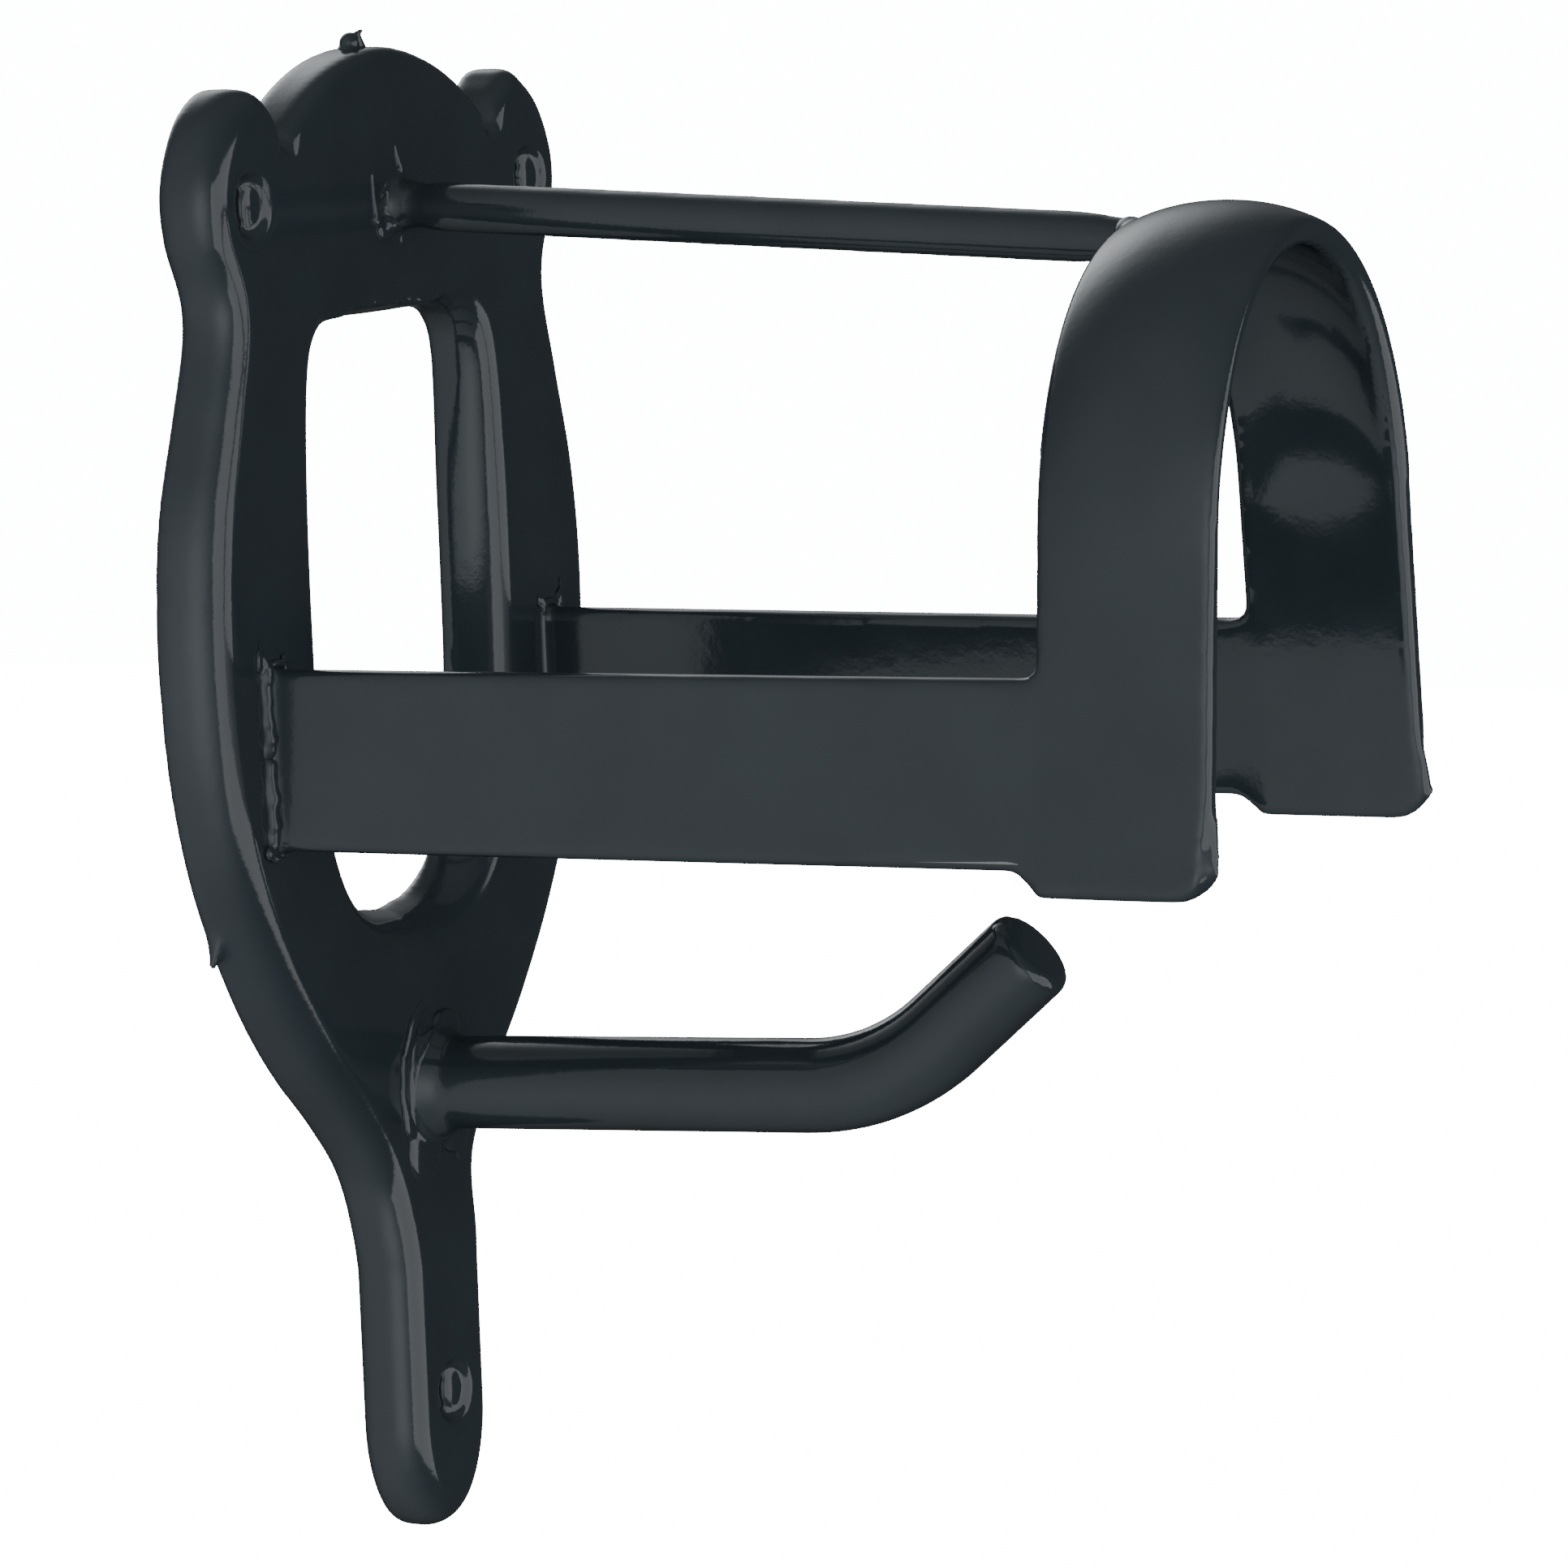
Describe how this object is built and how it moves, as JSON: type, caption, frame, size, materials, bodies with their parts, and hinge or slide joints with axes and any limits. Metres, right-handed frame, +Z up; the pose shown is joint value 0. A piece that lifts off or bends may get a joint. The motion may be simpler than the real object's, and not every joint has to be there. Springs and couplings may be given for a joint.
{
  "type": "wall bracket with saddle hoop and hook",
  "caption": "Wall-mounted bracket with a flanged back plate, a rounded saddle hoop on two arms, a brace bar and an upturned hook, dipped in black vinyl.",
  "frame": {"origin": "on the wall plane, on the centre line, in the middle of the top land of the rim that turns back round the plate's slot", "axes": "+Y into the wall, -Y out from the wall towards the user, +Z up, +X to the right for someone who faces the wall"},
  "size_m": [0.1232, 0.1573, 0.2321],
  "materials": {
    "vinyl_skin": "satin black vinyl dip",
    "steel_core": "mill finish, hidden under the vinyl",
    "skinned_weld": "weld bead under the vinyl skin"
  },
  "bodies": {
    "root": {"back_plate": "steel_core", "plate_coat": "vinyl_skin", "hoop_strap": "steel_core", "hoop_coat": "vinyl_skin", "top_bar": "steel_core", "top_bar_coat": "vinyl_skin", "hook_rod": "steel_core", "hook_coat": "vinyl_skin", "left_arm_weld_upper": "skinned_weld", "left_arm_weld_lower": "skinned_weld", "right_arm_weld_upper": "skinned_weld", "right_arm_weld_lower": "skinned_weld", "top_bar_plate_weld": "skinned_weld", "top_bar_hoop_weld": "skinned_weld", "hook_weld": "skinned_weld", "hanger_nib": "vinyl_skin"}
  },
  "joints": []
}
